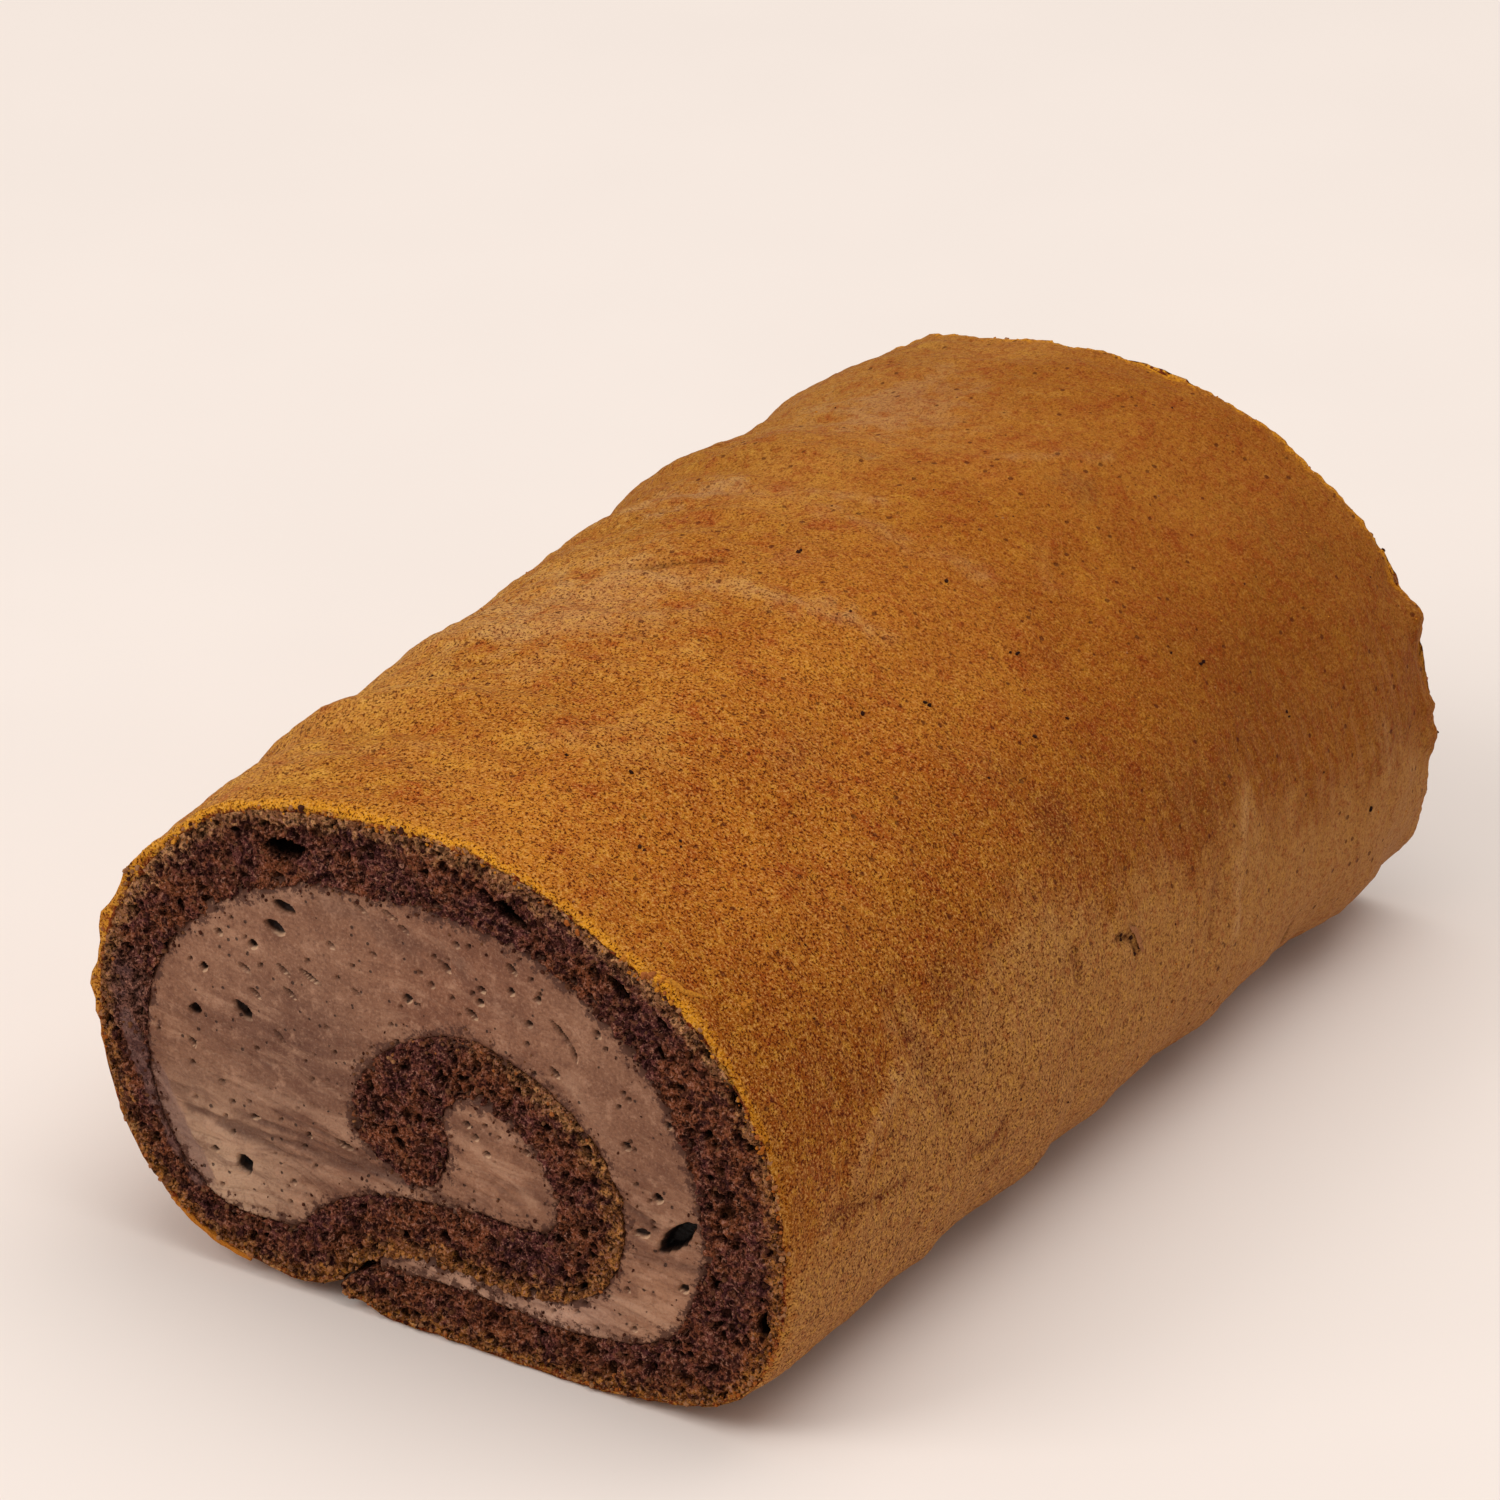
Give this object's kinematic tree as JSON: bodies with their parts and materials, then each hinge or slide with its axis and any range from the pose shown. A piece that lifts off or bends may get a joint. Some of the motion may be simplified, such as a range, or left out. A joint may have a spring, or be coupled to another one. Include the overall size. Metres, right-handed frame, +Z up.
{
  "type": "chocolate roll",
  "caption": "Whole chocolate roll cake lying on its flat side, a browned sponge sheet rolled round whipped chocolate cream, cut at both ends.",
  "frame": {"origin": "on the surface that the roll rests on, under the middle of its bounding box", "axes": "+Y along the roll, away from its front cut; +Z up; +X to the right when looking at the front cut"},
  "size_m": [0.1058, 0.162, 0.0718],
  "materials": {
    "sponge": "soft matte golden brown baked skin with a dark chocolate crumb at the cuts",
    "cream": "soft satin whipped chocolate cream, cut with a knife"
  },
  "bodies": {
    "root": {"sponge": "sponge", "cream": "cream"}
  },
  "joints": []
}
